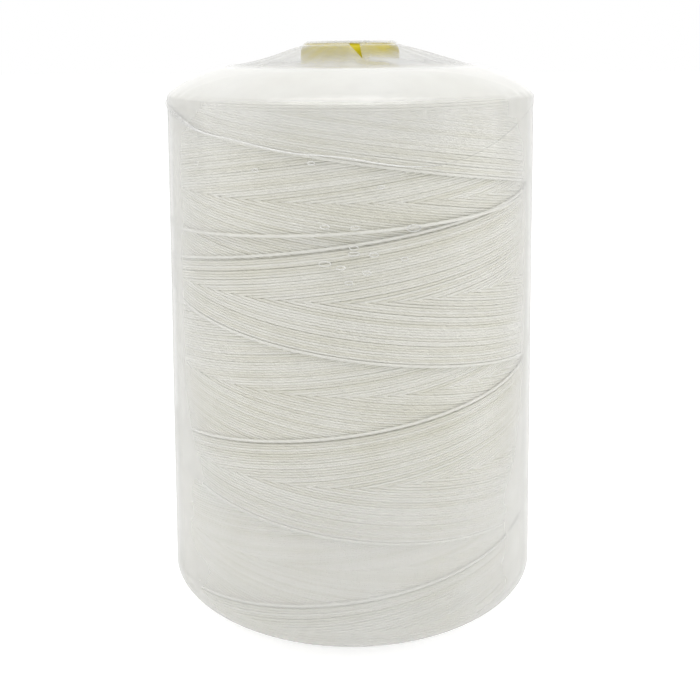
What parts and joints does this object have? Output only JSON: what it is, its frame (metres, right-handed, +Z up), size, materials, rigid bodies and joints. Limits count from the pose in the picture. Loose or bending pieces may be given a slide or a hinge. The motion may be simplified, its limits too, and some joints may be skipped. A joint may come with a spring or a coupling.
{
  "type": "waxed thread spool",
  "caption": "Large tall spool of off-white waxed thread, cross-wound on a yellow plastic tube and shrink-wrapped in clear film.",
  "frame": {"origin": "centre of the tube's foot, on the surface that the spool stands on", "axes": "+Z up along the tube's axis, -Y towards the viewer, where the film's seam hangs lowest"},
  "size_m": [0.1132, 0.1132, 0.1706],
  "materials": {
    "tube_plastic": "gloss",
    "thread": "satin",
    "film": "gloss"
  },
  "bodies": {
    "root": {"core_tube": "tube_plastic", "winding_body": "thread", "outer_winding": "thread", "shrink_film": "film", "film_seam": "film"}
  },
  "joints": []
}
